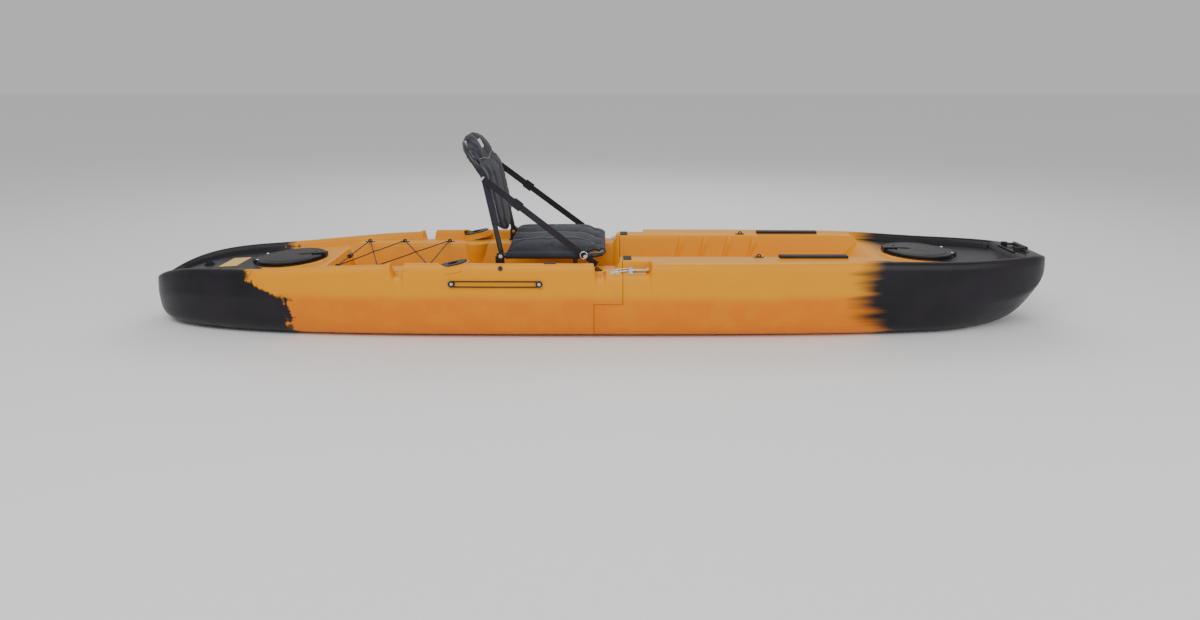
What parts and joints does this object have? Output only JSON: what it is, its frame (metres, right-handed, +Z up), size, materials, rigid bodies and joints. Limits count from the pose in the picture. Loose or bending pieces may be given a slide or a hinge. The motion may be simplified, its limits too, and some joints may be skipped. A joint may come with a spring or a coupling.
{
  "type": "sit-on-top kayak",
  "caption": "Sit-on-top kayak in two latched hull sections, with hatches, a cargo well, rod holders and a folding frame seat.",
  "frame": {"origin": "middle of the boat's length and beam, on the ground under the keel", "axes": "+X towards the bow, +Y to port, +Z up"},
  "size_m": [4.028, 0.8158, 0.8307],
  "materials": {
    "hull": "rotomoulded polyethylene, orange, with black ends",
    "black_plastic": "moulded nylon",
    "foam": "closed-cell foam",
    "rubber": "soft black rubber",
    "steel": "stainless steel",
    "frame": "black powder-coated aluminium tube",
    "cord": "braided elastic cord",
    "webbing": "woven polyester webbing",
    "sling": "coated polyester mesh",
    "patch": "plain woven label",
    "reflector": "plain reflective plate"
  },
  "bodies": {
    "root": {"stern_hull": "hull", "bow_hull": "hull", "stern_foam_blocks": "foam", "bow_foam_blocks": "foam", "stern_hatch_rim": "black_plastic", "stern_hatch_seal": "rubber", "stern_hatch_pin": "steel", "bow_hatch_rim": "black_plastic", "bow_hatch_seal": "rubber", "bow_hatch_pin": "steel", "port_latch_base": "steel", "port_latch_keeper": "steel", "starboard_latch_base": "steel", "starboard_latch_keeper": "steel", "port_rod_holder": "black_plastic", "starboard_rod_holder": "black_plastic", "cargo_pad_eyes": "black_plastic", "cargo_rivets": "steel", "cargo_bungee": "cord", "bungee_cord_lock": "black_plastic", "side_pad_eyes": "black_plastic", "side_rivets": "steel", "port_paddle_bungee": "cord", "starboard_paddle_bungee": "cord", "foot_pad_eyes": "black_plastic", "foot_rivets": "steel", "port_gear_track": "black_plastic", "starboard_gear_track": "black_plastic", "track_screws": "steel", "gunwale_studs": "black_plastic", "rail_end_pads": "rubber", "reflector_plate": "reflector", "drain_plug_washer": "rubber", "bow_handle_saddles": "black_plastic", "seat_base_frame": "frame", "seat_base_sling": "sling", "seat_hinge_brackets": "black_plastic", "seat_hinge_bolts": "steel", "seat_front_feet": "black_plastic", "seat_front_bolts": "steel", "seat_rings": "steel", "port_back_strap": "webbing", "starboard_back_strap": "webbing", "seat_tie_straps": "webbing", "tie_strap_anchors": "black_plastic"},
    "seat_back": {"seat_back_frame": "frame", "seat_back_sling": "sling", "headrest_patch": "patch", "back_strap_bolts": "steel"},
    "stern_lid": {"stern_hatch_lid": "black_plastic"},
    "stern_lever": {"stern_hatch_lever": "black_plastic"},
    "bow_lid": {"bow_hatch_lid": "black_plastic"},
    "bow_lever": {"bow_hatch_lever": "black_plastic"},
    "port_latch": {"port_latch_lever": "steel"},
    "port_loop": {"port_latch_loop": "steel"},
    "starboard_latch": {"starboard_latch_lever": "steel"},
    "starboard_loop": {"starboard_latch_loop": "steel"},
    "handle": {"bow_handle": "black_plastic"},
    "plug": {"drain_plug": "black_plastic"}
  },
  "joints": [
    {"name": "seat_back_fold", "type": "hinge", "parent": "root", "child": "seat_back", "pos_m": [-0.42, 0, 0.346], "axis": [0, 1, 0], "range_deg": [0, 70], "deforming": ["seat_base_sling", "port_back_strap", "starboard_back_strap"]},
    {"name": "stern_hatch_open", "type": "hinge", "parent": "root", "child": "stern_lid", "pos_m": [-1.57471, 0, 0.26846], "axis": [0, -1, 0], "range_deg": [0, 110]},
    {"name": "stern_lever_lift", "type": "hinge", "parent": "stern_lid", "child": "stern_lever", "pos_m": [-1.31174, 0, 0.29403], "axis": [0, -1, 0], "range_deg": [0, 85]},
    {"name": "bow_hatch_open", "type": "hinge", "parent": "root", "child": "bow_lid", "pos_m": [1.61445, 0, 0.30087], "axis": [0, 1, 0], "range_deg": [0, 110]},
    {"name": "bow_lever_lift", "type": "hinge", "parent": "bow_lid", "child": "bow_lever", "pos_m": [1.3509, 0, 0.31953], "axis": [0, 1, 0], "range_deg": [0, 85]},
    {"name": "port_latch_open", "type": "hinge", "parent": "root", "child": "port_latch", "pos_m": [0.128, 0.344, 0.302], "axis": [0, -1, 0], "range_deg": [0, 100]},
    {"name": "port_loop_swing", "type": "hinge", "parent": "port_latch", "child": "port_loop", "pos_m": [0.14, 0.344, 0.302], "axis": [0, -1, 0], "range_deg": [-130, 0]},
    {"name": "starboard_latch_open", "type": "hinge", "parent": "root", "child": "starboard_latch", "pos_m": [0.128, -0.344, 0.302], "axis": [0, -1, 0], "range_deg": [0, 100]},
    {"name": "starboard_loop_swing", "type": "hinge", "parent": "starboard_latch", "child": "starboard_loop", "pos_m": [0.14, -0.344, 0.302], "axis": [0, -1, 0], "range_deg": [-130, 0]},
    {"name": "bow_handle_lift", "type": "hinge", "parent": "root", "child": "handle", "pos_m": [1.88047, 0, 0.32722], "axis": [0, -1, 0], "range_deg": [0, 110]},
    {"name": "drain_plug_turn", "type": "hinge", "parent": "root", "child": "plug", "pos_m": [-1.80047, 0, 0.24111], "axis": [-0.1331, 0, 0.9911], "range_deg": [0, 180]}
  ],
  "couplings": [
    {"joint": "port_loop_swing", "follows": "port_latch_open", "ratio": -1.3},
    {"joint": "starboard_loop_swing", "follows": "starboard_latch_open", "ratio": -1.3}
  ]
}
